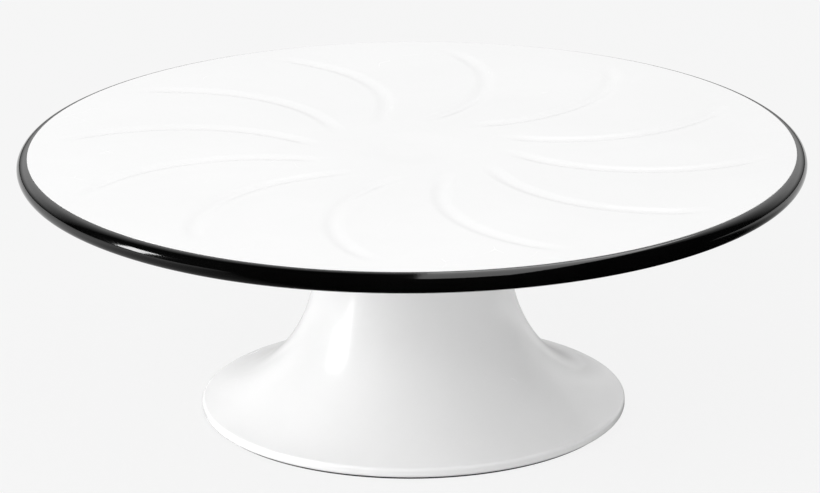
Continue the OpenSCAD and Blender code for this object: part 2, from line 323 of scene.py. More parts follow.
def swirl_depth(x, y):
    """How far the plate's top lies below its flat level at each point."""
    depth = np.zeros_like(x)
    for k in range(GROOVES):
        towards = GROOVE_TURN + 2 * math.pi * k / GROOVES
        dx = x - GROOVE_CENTRE * math.cos(towards)
        dy = y - GROOVE_CENTRE * math.sin(towards)
        off = np.abs(np.hypot(dx, dy) - GROOVE_RADIUS)
        along = (np.arctan2(dy, dx) - towards - math.pi) % (2 * math.pi)
        fade_in = smooth_step((along - GROOVE_FIRST) / GROOVE_FADE)
        fade = fade_in * smooth_step((GROOVE_LAST - along) / GROOVE_FADE)
        wave = 0.5 + 0.5 * np.cos(2 * math.pi * off / GROOVE_WIDTH)
        section = np.where(off < GROOVE_WIDTH / 2, wave, 0)
        depth = np.maximum(depth, GROOVE_DEPTH * section * fade)
    out = np.hypot(x, y)
    dimple = DIMPLE_DEPTH * smooth_step((DIMPLE_RADIUS - out) / (DIMPLE_RADIUS - DIMPLE_FLOOR))
    return np.maximum(depth, dimple)


sample = np.linspace(0, seam_r, 400)
print(f"deepest point along one radius: {1000 * swirl_depth(sample, 0 * sample).max():.2f} mm")

# %% [markdown]
# ## The plate
# The plate is one injection moulding. Its top is flat but for the swirl and a faint dimple at the centre,
# where the mould's gate was. Its rim ends in a wall with a tongue that the black band grips. The top
# needs many points for the grooves to stay smooth, so it is built as rings less than a millimetre apart.

# %% Build the plate's web and rim
PLATE_SEGMENTS = 720
RING_STEP = 0.72 * MM
EDGE_WALL = 3.2 * MM
EDGE_RISE = 0.2 * MM  # the edge wall ends this much above the band's foot
TONGUE = 1.5 * MM
TONGUE_HEIGHT = 2 * MM
SEAM_ROUND = 0.25 * MM
TOP_FIRST_RING = 6 * MM
WEB_RINGS = (100 * MM, 40 * MM)  # extra rings under the web, so that its faces aren't too long

tongue_z = plate_z - band_round - TONGUE_HEIGHT / 2
edge_foot = band_z + EDGE_RISE
top_radii = np.arange(TOP_FIRST_RING, seam_r - SEAM_ROUND, RING_STEP)
top_rings = [(r, plate_z) for r in top_radii]
rim = softened(
    [
        (seam_r - 2 * SEAM_ROUND, plate_z),
        (seam_r, plate_z),
        (seam_r, tongue_z + TONGUE_HEIGHT),
        (seam_r + TONGUE, tongue_z + TONGUE_HEIGHT),
        (seam_r + TONGUE, tongue_z),
        (seam_r, tongue_z),
        (seam_r, edge_foot),
        (seam_r - EDGE_WALL, edge_foot),
        (seam_r - EDGE_WALL, web_z),
        (WEB_RINGS[0], web_z),
    ],
    SEAM_ROUND,
    closed=False,
)
plate_outline = [(0, plate_z)] + top_rings + rim[1:] + [(WEB_RINGS[1], web_z), (0, web_z)]
plate = revolved("plate_top", plate_outline, PLATE_SEGMENTS, closed=False)
print(f"plate: {len(plate_outline)} rings of {PLATE_SEGMENTS} points")

# %% [markdown]
# The swirl is pressed into the flat top by moving its points down, which leaves the rim and the underside
# alone.

# %% Press the swirl into the top
ON_TOP = 0.01 * MM  # how near the top's level a point has to be

points = np.empty(len(plate.data.vertices) * 3)
plate.data.vertices.foreach_get("co", points)
points = points.reshape(-1, 3)
on_top = points[:, 2] > plate_z - ON_TOP
points[on_top, 2] -= swirl_depth(points[on_top, 0], points[on_top, 1])
plate.data.vertices.foreach_set("co", points.ravel())
plate.data.update()
deepest = 1000 * (plate_z - points[on_top, 2].min())
print(f"plate's top: {on_top.sum()} points, deepest {deepest:.2f} mm")

# %% [markdown]
# ## Under the plate
# A plate only 3 mm thick would sag under a cake, so ribs run out from the hub and two rings tie them
# together. The hub's walls carry the spindle's flange and the upper race, and a skirt hangs round the
# pedestal's neck to keep crumbs and icing out of the bearing.

# %% Make the hub's round walls
HUB_SEGMENTS = 192
RING_RIB_SEGMENTS = 360
RIB = 2 * MM
SKIRT = 3 * MM
SKIRT_GAP = 1 * MM
HUB_WALL = 2.7 * MM
SINK = 1 * MM  # how far a rib reaches into the web, so that they join
SPIGOT_WALL = 1.2 * MM
SPIGOT_DROP = 0.8 * MM
SEAT_WALL_IN = 1 * MM  # how far the seat's wall reaches in behind the spigot
RACE_BORE = 24.5 * MM
RACE_PLAY = 0.3 * MM
FLANGE_HOLE = 6 * MM
RING_RIBS = (72 * MM, 104 * MM)
RING_RIB_DROP = 3 * MM
WALL_SOFT = 0.3 * MM

skirt_r = neck_r + SKIRT_GAP
race_out = radius_of("upper_thrust_race")
spigot_r = RACE_BORE - RACE_PLAY


def ring_wall(name, inner, outer, low, segments=HUB_SEGMENTS):
    """A round wall that hangs from the web down to height low."""
    high = web_z + SINK
    outline = [(inner, low), (outer, low), (outer, high), (inner, high)]
    return revolved(name, softened(outline, WALL_SOFT), segments)


hub = ring_wall("skirt", skirt_r, skirt_r + SKIRT, foot_of("plate"))
walls = [
    ring_wall("race_wall", race_out - HUB_WALL, race_out, seat_z),
    ring_wall("spigot", spigot_r - SPIGOT_WALL, spigot_r, seat_z - SPIGOT_DROP),
    ring_wall("seat_wall", spigot_r - SEAT_WALL_IN, spigot_r + HUB_WALL, seat_z),
    ring_wall("flange_wall", FLANGE_HOLE, FLANGE_HOLE + HUB_WALL, flange_z),
]
for radius in RING_RIBS:
    low = web_z - RING_RIB_DROP
    walls.append(ring_wall("ring_rib", radius - RIB / 2, radius + RIB / 2, low, RING_RIB_SEGMENTS))
print("round walls under the plate:", 1 + len(walls))

# %% [markdown]
# The ribs are deepest at the hub and thin out to the edge, as the load does. Four bosses between the
# hub's walls take the screws of the spindle's flange.

# %% Add the ribs and bosses under the plate
RIBS = 12
RIB_TIP_DROP = 2.5 * MM
PIN_SOFT = 0.2 * MM
FLANGE_SCREWS = 4
FLANGE_SCREW_CIRCLE = 17 * MM
FLANGE_BOSS = 3.5 * MM
PILOT = 1.5 * MM  # radius of the hole that a screw cuts its thread in
PILOT_DEPTH = 7 * MM
PILOT_SEGMENTS = 32

rib_outline = [
    (FLANGE_HOLE + HUB_WALL / 2, web_z + SINK),
    (FLANGE_HOLE + HUB_WALL / 2, flange_z),
    (spigot_r - SPIGOT_WALL / 2, flange_z),
    (spigot_r - SPIGOT_WALL / 2, seat_z),
    (skirt_r + SKIRT, seat_z),
    (seam_r - EDGE_WALL / 2, web_z - RIB_TIP_DROP),
    (seam_r - EDGE_WALL / 2, web_z + SINK),
]
soft_rib = softened(rib_outline, WALL_SOFT)
ribs = [slab("rib", soft_rib, RIB, 2 * math.pi * k / RIBS) for k in range(RIBS)]
bosses, pilots = [], []
for place in places(FLANGE_SCREWS, FLANGE_SCREW_CIRCLE):
    bosses.append(pin("boss", FLANGE_BOSS, flange_z, web_z + SINK, place, soft=PIN_SOFT))
    pilots.append(pin("pilot", PILOT, seat_z, seat_z + PILOT_DEPTH, place, segments=PILOT_SEGMENTS))
hub = combined(hub, walls + ribs + bosses, "UNION")
plate = combined(plate, [hub], "UNION")
plate = combined(plate, pilots, "DIFFERENCE")
finished(plate, "turntable", "plate", "white_plastic")

# %% [markdown]
# ## The black band
# The band is a half-round ring of black plastic snapped over the plate's tongue. It was stretched on as
# it cooled, so it isn't perfectly even: its surface swells and sinks by a few hundredths of a millimetre,
# which is what makes the highlights along it waver.

# %% Build the edge band
BAND_SEGMENTS = 540
BAND_ARC_STEPS = 28
BAND_WAVE = 0.03 * MM
BAND_CORNER = 0.1 * MM
SWELLS = 9  # slow swells round the band
SWELL_START = 1.3  # keeps the swells and the ripples from starting together
RIPPLES = 23  # quicker and lower ones
RIPPLE_HEIGHT = 0.7  # of a swell
RIPPLE_TWIST = 4  # how far the ripples lean over the band's height
UNEVEN = 0.55  # how much of the wave the swells and ripples make
BAND_DROP = 0.2 * MM  # the plate's edge stands this much proud of the band
BAND_SHY = 0.06 * MM  # keeps the wave inside the CAD band
FIT = 0.03 * MM  # clearance between band and plate

band_mid = band_z + band_round
band_size = (band_round - BAND_SHY, band_round - BAND_DROP)
band_outline = arc((seam_r, band_mid), band_size, -90, 90, BAND_ARC_STEPS) + softened(
    [
        (seam_r + FIT, plate_z - BAND_DROP),
        (seam_r + FIT, tongue_z + TONGUE_HEIGHT + FIT),
        (seam_r + TONGUE + FIT, tongue_z + TONGUE_HEIGHT + FIT),
        (seam_r + TONGUE + FIT, tongue_z - FIT),
        (seam_r + FIT, tongue_z - FIT),
        (seam_r + FIT, band_z + BAND_DROP),
    ],
    BAND_CORNER,
    closed=False,
)
band = revolved("black_band", band_outline, BAND_SEGMENTS)
for vertex in band.data.vertices:
    x, y, z = vertex.co
    out = math.hypot(x, y)
    around = math.atan2(y, x)
    twist = RIPPLE_TWIST * (z - band_mid) / band_round
    swell = math.sin(SWELLS * around + SWELL_START)
    swell += RIPPLE_HEIGHT * math.sin(RIPPLES * around + twist)
    outside = max(0.0, (out - seam_r - TONGUE) / (band_round - TONGUE))
    shift = 1 - BAND_WAVE * (1 + UNEVEN * swell) * outside / out
    vertex.co.x *= shift
    vertex.co.y *= shift
finished(band, "turntable", "edge_band", "black_band", crisp=50)

# %% [markdown]
# ## The pedestal
# The pedestal is a trumpet-shaped shell: a straight neck that opens into a flare. The flare follows a
# quarter of an ellipse, which leaves the neck without a corner. The wall inside follows a larger ellipse
# about the same centre.

# %% The flare's curve
WALL = 2.8 * MM
FLARE_WIDTH = 48 * MM
FLARE_HEIGHT = 52.5 * MM

flare_r = neck_r + FLARE_WIDTH
flare_z = lip_z + FLARE_HEIGHT + WALL


def flare(radius_end, inset, steps):
    """Points down the flare from the neck to radius_end, `inset` inside the outer wall."""
    reach = math.degrees(math.acos((flare_r - radius_end) / (FLARE_WIDTH + inset)))
    radii = (-FLARE_WIDTH - inset, -FLARE_HEIGHT - inset)
    return arc((flare_r, flare_z), radii, 0, reach, steps)


print(f"the flare starts {1000 * flare_z:.1f} mm up")

# %% [markdown]
# The foot ends in a thin rounded lip. Inside, a post with a seat at each end holds the two spindle
# bearings. The whole shape, inside and out, is a single outline turned once round.

# %% Build the pedestal's shell and post
FLARE_STEPS = 56
INNER_STEPS = 40
LIP_STEPS = 6
LIP_ROUND = 1.2 * MM
LIP_ARCS = (70, -80)  # degrees, from where the lip's upper arc starts to where its lower one ends
POST_RADIUS = 15 * MM
POST_BORE = 9 * MM
DECK = 3 * MM
RING_WIDTH = 4 * MM
RIM_INNER = 68.2 * MM
SHELL_SOFT = 0.5 * MM
PEDESTAL_SEGMENTS = 288

bearing_r = radius_of("upper_bearing_outer_ring")
upper_seat = foot_of("upper_bearing_outer_ring")
lower_seat = top_of("lower_bearing_outer_ring")
post_z = foot_of("lower_bearing_outer_ring")
ring_top = top_of("foot_ring")
ring_out = radius_of("foot_ring")
ring_in = ring_out - RING_WIDTH
lip_r = foot_r - LIP_ROUND
outer_flare = flare(lip_r, 0, FLARE_STEPS)
lip_top = outer_flare[-1][1]
spigot_top = deck_z + SPIGOT_DROP
lip_size = (LIP_ROUND, LIP_ROUND)
shell = (
    [(bearing_r, spigot_top), (spigot_r, spigot_top), (spigot_r, deck_z), (neck_r, deck_z)]
    + outer_flare
    + arc((lip_r, lip_top - LIP_ROUND), lip_size, LIP_ARCS[0], 0, LIP_STEPS)
    + arc((lip_r, lip_z + LIP_ROUND), lip_size, 0, LIP_ARCS[1], LIP_STEPS)
    + [(lip_r, lip_z), (ring_out, lip_z), (ring_out, ring_top)]
    + [(ring_in, ring_top), (ring_in, lip_z), (RIM_INNER, lip_z)]
    + list(reversed(flare(RIM_INNER, WALL, INNER_STEPS)))
    + [(neck_r - WALL, deck_z - DECK), (POST_RADIUS, deck_z - DECK)]
    + [(POST_RADIUS, post_z), (bearing_r, post_z), (bearing_r, lower_seat)]
    + [(POST_BORE, lower_seat), (POST_BORE, upper_seat), (bearing_r, upper_seat)]
)
pedestal = revolved("pedestal_shell", softened(shell, SHELL_SOFT), PEDESTAL_SEGMENTS)
print(f"the shell's outline has {len(shell)} points, and the flare ends {1000 * lip_top:.1f} mm up")

# %% [markdown]
# Six ribs tie the post to the wall, and six bosses take the screws of the bottom cover.

# %% Add the pedestal's ribs and bosses
GUSSETS = 6
GUSSET = 2.2 * MM
GUSSET_FOOT = 42 * MM
GUSSET_STEPS = 10
GUSSET_SINK = 1.5 * MM  # how far a rib reaches into the post's wall
COVER_SCREWS = 6
COVER_SCREW_CIRCLE = 50 * MM
COVER_BOSS = 3.8 * MM

gusset_in = POST_RADIUS - GUSSET_SINK
gusset_top = deck_z - DECK / 2
gusset = [(gusset_in, post_z), (gusset_in, gusset_top), (neck_r - WALL / 2, gusset_top)]
gusset += flare(GUSSET_FOOT, WALL / 2, GUSSET_STEPS)
gussets = [slab("gusset", gusset, GUSSET, 2 * math.pi * k / GUSSETS) for k in range(GUSSETS)]
cover_top = top_of("bottom_cover")
cover_z = foot_of("bottom_cover")
boss_top = flare(COVER_SCREW_CIRCLE + COVER_BOSS, 0, 1)[-1][1] - WALL / 2
screw_places = places(COVER_SCREWS, COVER_SCREW_CIRCLE, first=math.pi / COVER_SCREWS)
posts, pilots = [], []
for place in screw_places:
    posts.append(pin("post", COVER_BOSS, cover_top, boss_top, place, soft=PIN_SOFT))
    pilots.append(pin("pilot", PILOT, cover_z, cover_z + PILOT_DEPTH, place, segments=PILOT_SEGMENTS))
pedestal = combined(pedestal, gussets + posts, "UNION")
pedestal = combined(pedestal, pilots, "DIFFERENCE")
finished(pedestal, "base", "pedestal", "white_plastic")

# %% [markdown]
# ## The foot
# A rubber ring sits in a groove under the rim, a little in from the edge, so only a thin dark line of it
# shows.

# %% Build the rubber ring
FOOT_SOFT = 0.4 * MM

ring_outline = [(ring_in, 0), (ring_out, 0), (ring_out, ring_top), (ring_in, ring_top)]
foot_ring = revolved("rubber_ring", softened(ring_outline, FOOT_SOFT), PEDESTAL_SEGMENTS)
finished(foot_ring, "base", "foot_ring", "foot_rubber")

# %% [markdown]
# The cover is a plain moulded disc. Its countersinks hold the heads of the screws, so that they clear the
# table.

# %% Build the bottom cover
SINK_HEAD = 3.1 * MM
SINK_HOLE = 1.8 * MM
SINK_DEPTH = 1.3 * MM
SINK_OVER = 1 * MM  # the cutter runs past both faces of the cover
SINK_SEGMENTS = 48

cover_r = radius_of("bottom_cover")
disc = [(0, cover_z), (cover_r, cover_z), (cover_r, cover_top), (0, cover_top)]
disc = softened(disc, FOOT_SOFT, closed=False)
cover = revolved("underside_cover", disc, PEDESTAL_SEGMENTS, closed=False)
sink = [
    (0, cover_z - SINK_OVER),
    (SINK_HEAD, cover_z - SINK_OVER),
    (SINK_HEAD, cover_z),
    (SINK_HOLE, cover_z + SINK_DEPTH),
    (SINK_HOLE, cover_top + SINK_OVER),
    (0, cover_top + SINK_OVER),
]
sinks = [moved(revolved("sink", sink, SINK_SEGMENTS, closed=False), place) for place in screw_places]
cover = combined(cover, sinks, "DIFFERENCE")
finished(cover, "base", "bottom_cover", "cover_plastic")

# %% [markdown]
# ## Shared surface effects
# Three effects appear on more than one finish, so each is a node group with named inputs. A group puts
# out masks and heights that change over the surface, and every finish decides what to do with them. These
# helpers keep the node trees short to write: each adds one node, with its inputs set or linked.

# %% Helpers for nodes
CLOUD = (0.35, 0.65)  # the stretch of a noise that is spread over 0 to 1


def new_group(name, inputs, outputs):
    """A group with number inputs, given as (label, default), and number outputs."""
    group = bpy.data.node_groups.new(name, "ShaderNodeTree")
    for label, value in inputs:
        socket = group.interface.new_socket(label, in_out="INPUT", socket_type="NodeSocketFloat")
        socket.default_value = value
    for label in outputs:
        group.interface.new_socket(label, in_out="OUTPUT", socket_type="NodeSocketFloat")
    return group, group.nodes.new("NodeGroupInput"), group.nodes.new("NodeGroupOutput")


def add(tree, kind, values=None, **settings):
    """A node with some settings, and values or links for its inputs."""
    node = tree.nodes.new(kind)
    for key, value in settings.items():
        setattr(node, key, value)
    for key, value in (values or {}).items():
        if isinstance(value, bpy.types.NodeSocket):
            tree.links.new(value, node.inputs[key])
        else:
            node.inputs[key].default_value = value
    return node


def mapped(tree, value, low, high, to_low, to_high):
    """value, moved from the range low to high into the range to_low to to_high."""
    node = add(tree, "ShaderNodeMapRange", {"Value": value}, clamp=True)
    limits = {"From Min": low, "From Max": high, "To Min": to_low, "To Max": to_high}
    for label, number in limits.items():
        node.inputs[label].default_value = number
    return node.outputs["Result"]


def noise(tree, place, scale, detail):
    """A noise over the surface. A finer one has a larger scale, a rougher one more detail."""
    return add(tree, "ShaderNodeTexNoise", {"Vector": place, "Scale": scale, "Detail": detail})


def calc(tree, operation, one, other):
    """The result of one Math node."""
    return add(tree, "ShaderNodeMath", {0: one, 1: other}, operation=operation).outputs[0]


print("node helpers ready")

# %% [markdown]
# A polished mould leaves a faint orange peel and, finer than that, a grain. A slow cloud says where the
# surface is a little duller or lighter.

# %% The skin of a moulding
GRAIN_SHARE = 0.25  # the grain's height against the peel's


def moulded_skin():
    inputs = [("Grain", 900.0), ("Peel", 70.0)]
    group, given, out = new_group("moulded_skin", inputs, ["Height", "Variation"])
    place = add(group, "ShaderNodeTexCoord").outputs["Object"]
    grain = noise(group, place, given.outputs["Grain"], detail=2.0)
    peel = noise(group, place, given.outputs["Peel"], detail=1.0)
    faint = calc(group, "MULTIPLY", grain.outputs["Fac"], GRAIN_SHARE)
    height = calc(group, "ADD", faint, peel.outputs["Fac"])
    cloud = noise(group, place, scale=14.0, detail=4.0)
    cloud.inputs["Roughness"].default_value = 0.6
    group.links.new(height, out.inputs["Height"])
    group.links.new(mapped(group, cloud.outputs["Fac"], *CLOUD, 0.0, 1.0), out.inputs["Variation"])
    return group


SKIN = moulded_skin()
print("node group:", SKIN.name)

# %% [markdown]
# Use leaves hairlines on plastic. They are the edges between bent Voronoi cells, and a noise keeps only
# some of them.

# %% Fine scratches
HAIRLINE = 0.012  # a scratch's width against its cell's
BEND = (0.05, 0.05, 0.05)  # metres that the noise may push a cell's edge
WORN = (0.52, 0.62)  # the stretch of the noise over which scratches come in


def fine_scratches():
    inputs = [("Scale", 60.0), ("Amount", 0.5)]
    group, given, out = new_group("fine_scratches", inputs, ["Mask"])
    place = add(group, "ShaderNodeTexCoord").outputs["Object"]
    bend = noise(group, place, scale=25.0, detail=2.0)
    pushed = {0: bend.outputs["Color"], 1: BEND, 2: place}
    shifted = add(group, "ShaderNodeVectorMath", pushed, operation="MULTIPLY_ADD")
    grid = {"Vector": shifted.outputs[0], "Scale": given.outputs["Scale"]}
    cells = add(group, "ShaderNodeTexVoronoi", grid, feature="DISTANCE_TO_EDGE")
    line = mapped(group, cells.outputs["Distance"], 0.0, HAIRLINE, 1.0, 0.0)
    patch = noise(group, place, scale=40.0, detail=3.0)
    where = mapped(group, patch.outputs["Fac"], *WORN, 0.0, 1.0)
    kept = calc(group, "MULTIPLY", line, where)
    mask = calc(group, "MULTIPLY", kept, given.outputs["Amount"])
    group.links.new(mask, out.inputs["Mask"])
    return group


SCRATCHES = fine_scratches()
print("node group:", SCRATCHES.name)

# %% [markdown]
# A lathe tool leaves rings about the axis on metal. They are a noise that changes only with the distance
# from the axis and with the height.

# %% Lines of a lathe tool


def turned_lines():
    inputs = [("Pitch", 0.0002), ("Along axis", 1.0)]
    group, given, out = new_group("turned_lines", inputs, ["Lines", "Variation"])
    place = add(group, "ShaderNodeTexCoord").outputs["Object"]
    parts = add(group, "ShaderNodeSeparateXYZ", {"Vector": place})
    level = {"X": parts.outputs["X"], "Y": parts.outputs["Y"]}
    flat = add(group, "ShaderNodeCombineXYZ", level).outputs[0]
    radius = add(group, "ShaderNodeVectorMath", {0: flat}, operation="LENGTH")
    climb = calc(group, "MULTIPLY", parts.outputs["Z"], given.outputs["Along axis"])
    track = calc(group, "ADD", radius.outputs["Value"], climb)
    step = calc(group, "DIVIDE", track, given.outputs["Pitch"])
    stripes = {"W": step, "Scale": 1.0, "Detail": 3.0}
    lines = add(group, "ShaderNodeTexNoise", stripes, noise_dimensions="1D")
    cloud = noise(group, place, scale=180.0, detail=3.0)
    group.links.new(lines.outputs["Fac"], out.inputs["Lines"])
    group.links.new(mapped(group, cloud.outputs["Fac"], *CLOUD, 0.0, 1.0), out.inputs["Variation"])
    return group


TURNED = turned_lines()
print("node group:", TURNED.name)

# %% [markdown]
# ## Finishes
# A finish starts from one Principled shader. Its colour, roughness and bump then vary over the surface
# with the groups above: polished plastic is never quite even in gloss, and metal shows how it was cut or
# plated.

# %% Helpers for finishes


def new_finish(name, **constants):
    """A material with one Principled shader, and what is the same all over it set on the shader."""
    material = bpy.data.materials.new(name)
    material.use_nodes = True
    tree = material.node_tree
    shader = tree.nodes["Principled BSDF"]
    for label, value in constants.items():
        shader.inputs[label.replace("_", " ")].default_value = value
    return material, tree, shader


def group_node(tree, group, **values):
    node = tree.nodes.new("ShaderNodeGroup")
    node.node_tree = group
    for label, value in values.items():
        node.inputs[label.replace("_", " ")].default_value = value
    return node


def blended_colour(tree, mask, low, high):
    """A colour that goes from low to high as the mask does from 0 to 1."""
    ramp = tree.nodes.new("ShaderNodeMix")
    ramp.data_type = "RGBA"
    tree.links.new(mask, ramp.inputs["Factor"])
    ramp.inputs["A"].default_value = (*low, 1)
    ramp.inputs["B"].default_value = (*high, 1)
    return ramp.outputs["Result"]


def grey(tone):
    return (tone, tone, tone)


def bumped(tree, shader, height, distance):
    """Lets a height that changes over the surface tilt the shader's normal."""
    bump = tree.nodes.new("ShaderNodeBump")
    bump.inputs["Distance"].default_value = distance
    bump.inputs["Strength"].default_value = 1.0
    tree.links.new(height, bump.inputs["Height"])
    tree.links.new(bump.outputs["Normal"], shader.inputs["Normal"])


print("finish helpers ready")

# %% [markdown]
# The white plastic is polished to a high gloss, so it reflects the light sharply over a slightly wavy
# surface. The band is black all through, glossy and a little rippled. The rubber ring is matt and nearly
# black.

# %% Make the plastics and the rubber
SCRATCH_SCALE = 55.0


def plastic(name, low, high, gloss, peel, grain=900.0, depth=0.02 * MM, scratch=0.0, **constants):
    """A moulded plastic. low and high are the shades it drifts between, gloss its range of roughness."""
    material, tree, shader = new_finish(name, **constants)
    skin = group_node(tree, SKIN, Grain=grain, Peel=peel)
    colour = blended_colour(tree, skin.outputs["Variation"], low, high)
    tree.links.new(colour, shader.inputs["Base Color"])
    roughness = mapped(tree, skin.outputs["Variation"], 0.0, 1.0, *gloss)
    if scratch:
        marks = group_node(tree, SCRATCHES, Scale=SCRATCH_SCALE, Amount=scratch)
        roughness = calc(tree, "ADD", roughness, marks.outputs["Mask"])
    tree.links.new(roughness, shader.inputs["Roughness"])
    bumped(tree, shader, skin.outputs["Height"], depth)
    return material


WHITE = plastic(
    "white_plastic",
    low=grey(0.855),
    high=grey(0.875),
    gloss=(0.16, 0.22),
    peel=60.0,
    depth=0.01 * MM,
    scratch=0.08,
    IOR=1.52,
)
BLACK = plastic(
    "black_band",
    low=grey(0.0008),
    high=grey(0.002),
    gloss=(0.05, 0.10),
    peel=120.0,
    depth=0.03 * MM,
    IOR=1.49,
)
RUBBER = plastic(
    "foot_rubber",
    low=grey(0.03),
    high=grey(0.055),
    gloss=(0.65, 0.8),
    peel=300.0,
    grain=2500.0,
)
COVER = plastic(
    "cover_plastic",
    low=(0.72, 0.72, 0.71),
    high=(0.77, 0.77, 0.76),
    gloss=(0.42, 0.52),
    peel=500.0,
    grain=3000.0,
)
NYLON = plastic(
    "cage_plastic",
    low=(0.74, 0.71, 0.62),
    high=(0.80, 0.77, 0.69),
    gloss=(0.4, 0.5),
    peel=300.0,
)
print("plastics and rubber:", len(bpy.data.materials))

# %% [markdown]
# The bearings, the spindle and the fixings are steel, cut or ground on a lathe, so fine rings run round
# them. They differ in shade, in gloss and in how far apart the rings lie. The bearings' cages are brass,
# and the spacer is aluminium. The balls are ground and polished until next to nothing is left of the
# rings.

# %% Make the metals
LINES = (0.3, 0.7)  # the stretch of the lines' noise that is spread over the range of roughness
BALL_DEPTH = 0.0005 * MM


def metal(name, low, high, gloss, pitch, depth=0.004 * MM):
    """A turned or ground metal. pitch is the spacing of its tool marks, and depth their height."""
    material, tree, shader = new_finish(name, Metallic=1.0)
    marks = group_node(tree, TURNED, Pitch=pitch, Along_axis=1.0)
    colour = blended_colour(tree, marks.outputs["Variation"], low, high)
    tree.links.new(colour, shader.inputs["Base Color"])
    roughness = mapped(tree, marks.outputs["Lines"], *LINES, *gloss)
    tree.links.new(roughness, shader.inputs["Roughness"])
    bumped(tree, shader, marks.outputs["Lines"], depth)
    return material


# The darker shade, the lighter shade, the range of roughness, and the pitch of the tool marks;
# the balls give the depth of theirs too
METALS = {
    "spindle_steel": ((0.50, 0.50, 0.51), (0.58, 0.58, 0.59), (0.22, 0.38), 0.2 * MM),
    "bearing_steel": ((0.60, 0.60, 0.62), (0.66, 0.66, 0.68), (0.10, 0.18), 0.06 * MM),
    "race_steel": ((0.52, 0.52, 0.53), (0.60, 0.60, 0.61), (0.16, 0.30), 0.12 * MM),
    "shield_steel": ((0.44, 0.44, 0.45), (0.52, 0.52, 0.53), (0.25, 0.40), 0.1 * MM),
    "cage_brass": ((0.62, 0.44, 0.19), (0.74, 0.55, 0.27), (0.22, 0.38), 0.2 * MM),
    "spacer_aluminium": ((0.66, 0.66, 0.68), (0.74, 0.74, 0.76), (0.24, 0.40), 0.3 * MM),
    "zinc_screw": ((0.46, 0.47, 0.49), (0.58, 0.60, 0.62), (0.22, 0.36), 0.4 * MM),
    "ball_steel": ((0.70, 0.70, 0.72), (0.74, 0.74, 0.76), (0.03, 0.06), 0.9 * MM, BALL_DEPTH),
}
metals = {name: metal(name, *look) for name, look in METALS.items()}
print("metals:", sorted(metals))

# %% [markdown]
# Every piece takes the finish that the record names for it, so the pieces inside the bearings are dressed
# as well.

# %% Give every piece its finish
FINISH = {
    "white_plastic": WHITE,
    "black_band": BLACK,
    "foot_rubber": RUBBER,
    "cover_plastic": COVER,
    "cage_plastic": NYLON,
    **metals,
}


def dress(piece, material):
    piece.data.materials.clear()
    piece.data.materials.append(material)


for part in frame["record"]["subparts"]:
    dress(nodes[part["node"]], FINISH[part["material_slot"]])
rebuilt = (plate, band, pedestal, foot_ring, cover)
for piece in rebuilt:
    dress(piece, FINISH[piece["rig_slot"]])

# %% [markdown]
# ## The studio
# Glossy ware is lit by what it mirrors, so this room is pale behind the stand and dark in front of it:
# the band then stays black with a thin sheen along its top, and the white plastic keeps its shape. A
# Light Path node tells apart the rays that light a surface, those that a gloss mirrors, and those that
# the camera sees directly, and each kind gets its own value from the room.

# %% The sky
PAPER_TONE = 0.9216  # the background that the camera sees
SKY_LOW = 0.60  # the sky's light at the horizon
SKY_HIGH = 1.04  # and overhead
MIRRORED_BACK = 1.0  # what a gloss mirrors of the sky behind the stand
BACK_FADE = (0.4, 0.8)  # how far back a ray has to point for that
HORIZON_FADE = (0.0, 0.25)  # and how far up


def either(tree, test, one, other):
    """one where test is 0, and other where it is 1."""
    return add(tree, "ShaderNodeMix", {"Factor": test, "A": one, "B": other}).outputs[0]


def by_ray(tree, diffuse, glossy, camera):
    """One value for each kind of ray that meets the room."""
    path = add(tree, "ShaderNodeLightPath")
    unseen = either(tree, path.outputs["Is Glossy Ray"], diffuse, glossy)
    return either(tree, path.outputs["Is Camera Ray"], unseen, camera)


world = bpy.data.worlds.new("studio")
bpy.context.scene.world = world
world.use_nodes = True
sky = world.node_tree
ray = add(sky, "ShaderNodeTexCoord").outputs["Generated"]
towards = add(sky, "ShaderNodeSeparateXYZ", {"Vector": ray})
overhead = mapped(sky, towards.outputs["Z"], 0.0, 1.0, SKY_LOW, SKY_HIGH)
behind = mapped(sky, towards.outputs["Y"], *BACK_FADE, 0.0, MIRRORED_BACK)
above = mapped(sky, towards.outputs["Z"], *HORIZON_FADE, 0.0, 1.0)
backdrop = calc(sky, "MULTIPLY", behind, above)
background = sky.nodes["Background"]
background.inputs["Color"].default_value = (1, 1, 1, 1)
sky.links.new(by_ray(sky, overhead, backdrop, PAPER_TONE), background.inputs["Strength"])
print("sky nodes:", len(sky.nodes))

# %% [markdown]
# The floor is a light table: it glows by itself, so the stand's shadow on it is faint. It is a wide ring
# with a hole under the foot, and it is clear from below, so that the underside can be looked at too.

# %% The floor
FLOOR_RADIUS = 5.0
FLOOR_HOLE = 68 * MM  # lets light in under the foot, which hides it from above
FLOOR_SIDES = 96
PAPER_SHADE = 0.86
PAPER_GLOW = 0.94  # how much of what the camera sees is glow, and not the paper's own shade
# In reflections the floor shows a painted glow, not its own lit shade: bright over its left and far part,
# dark in front and at the right.
FLOOR_REFLECTION_GLOW = 0.9
FLOOR_SLANT = -0.8  # turns the edge of the painted glow, so that it takes in the left
LEFT_GLOW_FADE = (-0.1, 0.3)  # metres over which the painted glow starts at the left
FAR_GLOW_FADE = (0.0, 0.2)  # and behind the stand


